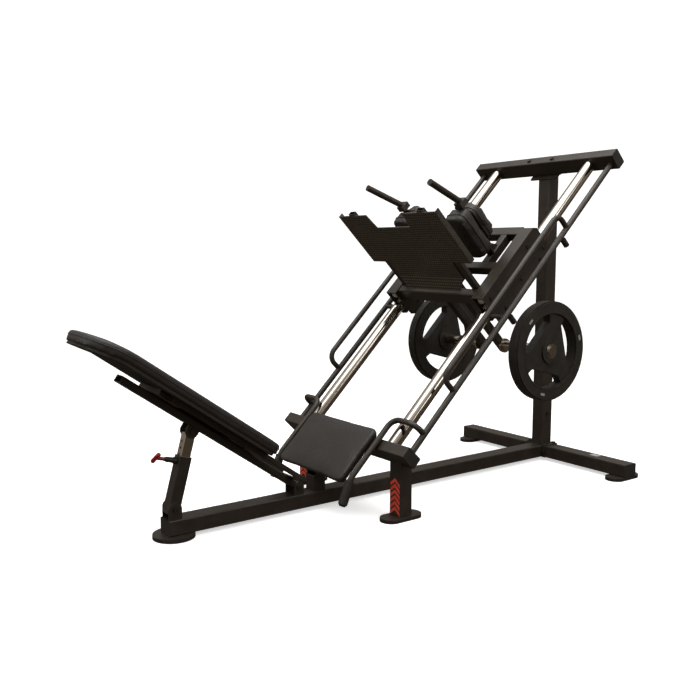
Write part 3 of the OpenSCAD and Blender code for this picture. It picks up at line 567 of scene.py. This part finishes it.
def back_place(x, y, z):
    """Backrest pad: y up from its lower end, z out from its board; the head end tilts back smoothly."""
    soft = BEND_REACH
    past = y - BEND_AT
    if past <= -soft:
        run, rise, angle = y, 0.0, 0.0
    else:
        part = min((past + soft) / (2 * soft), 1.0)
        angle = BEND * part
        arc_len = min(past + soft, 2 * soft)
        rise = -arc_len * math.tan(angle / 2)
        run = BEND_AT - soft + arc_len
        if past > soft:
            run += (past - soft) * math.cos(BEND)
            rise -= (past - soft) * math.sin(BEND)
    return on_back(x, BACK_LOW + run + z * math.sin(angle), BOARD_TOP + rise + z * math.cos(angle))


back_shape = dense(back_outline(BACK_WIDTH, BACK_LENGTH, BACK_CORNER, HEAD_RADIUS))
_, back_flat = pad(
    "backrest_pad", back_shape, BACK_THICK, back_place, "backrest", "backrest_cushion", 8, 12, voxel=6.0
)
seam_line = side_loop(back_flat, back_shape, 24, back_place, 0.3)
tube("backrest_seam", seam_line, 1.8, "backrest", FINISH["vinyl"], True)

# Lower end of the sled up the rails, and the neck pads' place across, up and out
SLED_FOOT = 728
NECK_ACROSS, NECK_UP, NECK_OUT = 176, 276, 249
for side, sign in (("right", 1), ("left", -1)):
    shoulder_mid = centre("shoulder_cushion_" + side)

    def shoulder_place(x, y, z, middle=shoulder_mid):
        """Shoulder pad: y out from the rails, z down the rails from its sheet."""
        return middle + (SIDE * x + RAIL_OUT * y + RAIL_UP * (39 - z)) * MM

    shape = dense(rounded_box(118, 242, 28), 9)
    _, flat = pad(
        "shoulder_pad_" + side, shape, 78, shoulder_place, "sled", "shoulder_cushion_" + side, 8, 16, voxel=4.5
    )
    piping = side_loop(flat, shape, 40, shoulder_place, 0.8)
    tube("shoulder_piping_" + side, piping, 2.6, "sled", FINISH["vinyl"], True)

    def neck_place(x, y, z, sign=sign):
        """Neck pad: y out from the rails, z up the rails from the shoulder sheet."""
        return on_rail(sign * NECK_ACROSS + x, SLED_FOOT + NECK_UP + z, NECK_OUT + y)

    shape = dense(rounded_box(110, 182, 28), 9)
    _, flat = pad("neck_pad_" + side, shape, 62, neck_place, "sled", "neck_pads", 8, 20, voxel=4.5)
    piping = side_loop(flat, shape, 18, neck_place, 0.8)
    tube("neck_piping_" + side, piping, 2.4, "sled", FINISH["vinyl"], True)

# ---------------------------------------------------------------- small fitted pieces


def disc_ring(name, middle, axis, inner, outer, thick, body, material, record_slot, soften=0.6):
    """Flat ring round an axis, its edges softened; inner 0 makes a disc."""
    profile = [(inner, 0), (outer, 0), (outer, thick), (inner, thick)]
    bm = bmesh.new()
    verts = [bm.verts.new((r * MM, 0, h * MM)) for r, h in profile]
    edges = [bm.edges.new((verts[i], verts[(i + 1) % 4])) for i in range(4)]
    bmesh.ops.spin(
        bm, geom=verts + edges, cent=(0, 0, 0), axis=(0, 0, 1), angle=2 * math.pi, steps=64, use_merge=True
    )
    bmesh.ops.remove_doubles(bm, verts=bm.verts[:], dist=1e-6)
    turn = Vector((0, 0, 1)).rotation_difference(axis).to_matrix().to_4x4()
    bmesh.ops.transform(bm, matrix=Matrix.Translation(middle) @ turn, verts=bm.verts[:])
    thing = new_object(name, finish_mesh(bm, name, False), body, material)
    soft = thing.modifiers.new("soft", "BEVEL")
    soft.width = soften * MM
    soft.segments = 2
    return thing


def slab(name, middle, axes, sizes, body, material, corner=1.0):
    """Thin plate with rounded corners: axes are its three directions, sizes in millimetres."""
    bm = bmesh.new()
    outline = rounded_box(sizes[0], sizes[1], corner)
    ring = [bm.verts.new((x * MM, y * MM, -sizes[2] / 2 * MM)) for x, y in outline]
    bmesh.ops.remove_doubles(bm, verts=ring, dist=1e-6)
    face = bm.faces.new([v for v in ring if v.is_valid])
    raised = bmesh.ops.extrude_face_region(bm, geom=[face])["geom"]
    for vertex in [g for g in raised if isinstance(g, bmesh.types.BMVert)]:
        vertex.co.z = sizes[2] / 2 * MM
    x, y, z = axes
    turn = Matrix((x, y, z)).transposed().to_4x4()
    bmesh.ops.transform(bm, matrix=Matrix.Translation(middle) @ turn, verts=bm.verts[:])
    return new_object(name, finish_mesh(bm, name, False), body, material)


def hex_head(name, middle, axis, across, height, body):
    """Small hexagon bolt head with a chamfer."""
    bm = bmesh.new()
    radius = across / 2 / math.cos(math.radians(30))
    ring = [
        bm.verts.new((radius * math.cos(math.radians(a)) * MM, radius * math.sin(math.radians(a)) * MM, 0))
        for a in range(0, 360, 60)
    ]
    face = bm.faces.new(ring)
    raised = bmesh.ops.extrude_face_region(bm, geom=[face])["geom"]
    for vertex in [g for g in raised if isinstance(g, bmesh.types.BMVert)]:
        vertex.co.z = height * MM
    rim = [e for e in bm.edges if all(v.co.z > 1e-6 for v in e.verts)]
    bmesh.ops.bevel(bm, geom=rim, offset=0.9 * MM, segments=2, profile=0.5, affect="EDGES", material=-1)
    turn = Vector((0, 0, 1)).rotation_difference(axis).to_matrix().to_4x4()
    bmesh.ops.transform(bm, matrix=Matrix.Translation(middle) @ turn, verts=bm.verts[:])
    return new_object(name, finish_mesh(bm, name, False), body, BOLTS)


SILVER = moulded("silver_label_film", "A9A8A4", "B9B8B4", 0.35, 3.0, 0.005)
PALE = moulded("pale_printed_mark", "A39F96", "B4B0A7", 0.6, 1.0, 0.02)

beam_low, beam_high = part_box("rear_beam")
slab(
    "beam_label",
    Vector((0.330, (beam_low[1] + beam_high[1]) / 2 + 0.008, beam_high[2] + 0.0002)),
    (SIDE, Vector((0, 1, 0)), Vector((0, 0, 1))),
    (46, 31, 0.4),
    "frame",
    SILVER,
)

HUB_RING, RIM_BEAD, MARK_RADIUS = (25.3, 33, 1.6), (172, 177, 1.2), 197
CARRIAGE_SIDE = 325
for side, sign in (("right", 1), ("left", -1)):
    body = "weight_plate_" + side
    rubber_finish = FINISH["plate_rubber"]
    hub = centre(body)
    low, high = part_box(body)
    face_x = high[0] if sign > 0 else low[0]
    outward = SIDE * sign
    hub_face = Vector((face_x, hub.y, hub.z))
    disc_ring("plate_hub_ring_" + side, hub_face, outward, *HUB_RING, body, FINISH["chrome"], "chrome")
    disc_ring("plate_rim_bead_" + side, hub_face, outward, *RIM_BEAD, body, rubber_finish, "plate_rubber")
    for i in range(3):
        angle = math.radians(15 + 120 * i)
        radial = Vector((0, math.cos(angle), math.sin(angle)))
        around = outward.cross(radial)
        slab(
            "plate_mark_%s_%d" % (side, i),
            hub_face + radial * MARK_RADIUS * MM + outward * 0.3 * MM,
            (around, radial, outward),
            (26, 11, 0.5),
            body,
            PALE,
        )
    for i, (u, n) in enumerate(((SLED_FOOT + 224, -27), (SLED_FOOT + 415, -28))):
        spot = on_rail(sign * CARRIAGE_SIDE, u, n)
        hex_head("carriage_bolt_%s_%d" % (side, i), spot, outward, 13, 5.5, "sled")

# ---------------------------------------------------------------- floor, lights and camera


def flat_stage(name, middle, x_dir, y_dir, width, height, material):
    """Large plain rectangle that belongs to the set."""
    mesh = bpy.data.meshes.new(name)
    x, y = x_dir * width / 2, y_dir * height / 2
    mesh.from_pydata([middle - x - y, middle + x - y, middle + x + y, middle - x + y], [], [(0, 1, 2, 3)])
    thing = bpy.data.objects.new(name, mesh)
    bpy.context.scene.collection.objects.link(thing)
    mesh.materials.append(material)
    return thing


def paper(name, code, glow):
    """White studio paper, with a faint mottle."""
    material, tree, shader, coords = start_material(name)
    cloud = noise(tree, coords, 900, 2.0)
    tree.links.new(ramp(tree, cloud, 0.3, 0.7, linear(code), linear("FFFFFF")), shader.inputs["Base Color"])
    shader.inputs["Roughness"].default_value = 0.9
    shader.inputs["Specular IOR Level"].default_value = 0.1
    shader.inputs["Emission Color"].default_value = (1, 1, 1, 1)
    shader.inputs["Emission Strength"].default_value = glow
    return material


scene = bpy.context.scene
VIEW_TURN, VIEW_TILT = math.radians(54), math.radians(83)
JUST_BELOW = Vector((0, 0, -0.0005))
floor = flat_stage("floor", JUST_BELOW, SIDE, Vector((0, 1, 0)), 60, 60, paper("floor_paper", "FAFAFA", 0.56))
LOOK = Vector((-math.sin(VIEW_TURN), math.cos(VIEW_TURN), 0))
ACROSS = Vector((LOOK.y, -LOOK.x, 0))
white_wall = paper("backdrop_paper", "FAFAFA", 0.9)
UPRIGHT = Vector((0, 0, 1))
walls = [floor]
sides = (("back", LOOK, ACROSS), ("front", -LOOK, ACROSS), ("left", -ACROSS, LOOK), ("right", ACROSS, LOOK))
for name, out, along in sides:
    wall = flat_stage("backdrop_" + name, out * 12 + UPRIGHT * 11, along, UPRIGHT, 24, 24, white_wall)
    wall.visible_shadow = False
    walls.append(wall)

# The paper is only a plain ground: the metal mirrors the studio above and below it instead
for paper_sheet in walls:
    paper_sheet.visible_diffuse = False
    paper_sheet.visible_glossy = False

world = bpy.data.worlds.new("studio")
scene.world = world
world.use_nodes = True
studio = world.node_tree
background = studio.nodes["Background"]
direction = add(studio, "ShaderNodeTexCoord").outputs["Generated"]
upward = add(studio, "ShaderNodeSeparateXYZ", {"Vector": direction}).outputs["Z"]
sky = add(studio, "ShaderNodeValToRGB", {"Fac": remap(studio, upward, -1.0, 1.0, 0.0, 1.0)})
for spot, tone in ((0.3, "5C5349"), (0.46, "5C5349"), (0.53, "B8AFA4"), (0.7, "8A847C"), (0.85, "F2EFEA")):
    stop = sky.color_ramp.elements.new(spot)
    stop.color = linear(tone)
sky.color_ramp.elements[0].color = linear("5C5349")
sky.color_ramp.elements[-1].color = linear("FFFFFF")
studio.links.new(sky.outputs["Color"], background.inputs["Color"])
background.inputs["Strength"].default_value = 0.7


def softbox(name, place, target, width, height, power):
    """Rectangular area light aimed at a point."""
    light = bpy.data.lights.new(name, "AREA")
    light.shape = "RECTANGLE"
    light.size = width
    light.size_y = height
    light.energy = power
    thing = bpy.data.objects.new(name, light)
    scene.collection.objects.link(thing)
    thing.location = place
    thing.rotation_euler = (Vector(target) - Vector(place)).to_track_quat("-Z", "Y").to_euler()
    return thing


softbox("top_box", (0.3, -0.2, 4.6), (0, 0, 0), 4.5, 4.5, 190)
softbox("left_box", (-0.6, -5.0, 2.6), (0, -0.2, 0.7), 2.5, 2.2, 44)
softbox("right_box", (4.6, 1.6, 2.8), (0, 0.2, 0.8), 2.0, 2.4, 40)

EYE_SIDE, EYE_AHEAD, EYE_HEIGHT = 2.817, 2.045, 1.075
camera = bpy.data.cameras.new("camera")
camera.lens = 42.6
camera.sensor_width = 36
camera.dof.use_dof = False
camera.clip_end = 200
eye = bpy.data.objects.new("camera", camera)
scene.collection.objects.link(eye)
eye.location = (EYE_SIDE, RAIL_FOOT.y - EYE_AHEAD, EYE_HEIGHT)
eye.rotation_euler = (VIEW_TILT, 0, VIEW_TURN)
scene.camera = eye
scene.view_settings.view_transform = "Standard"
scene.view_settings.look = "None"
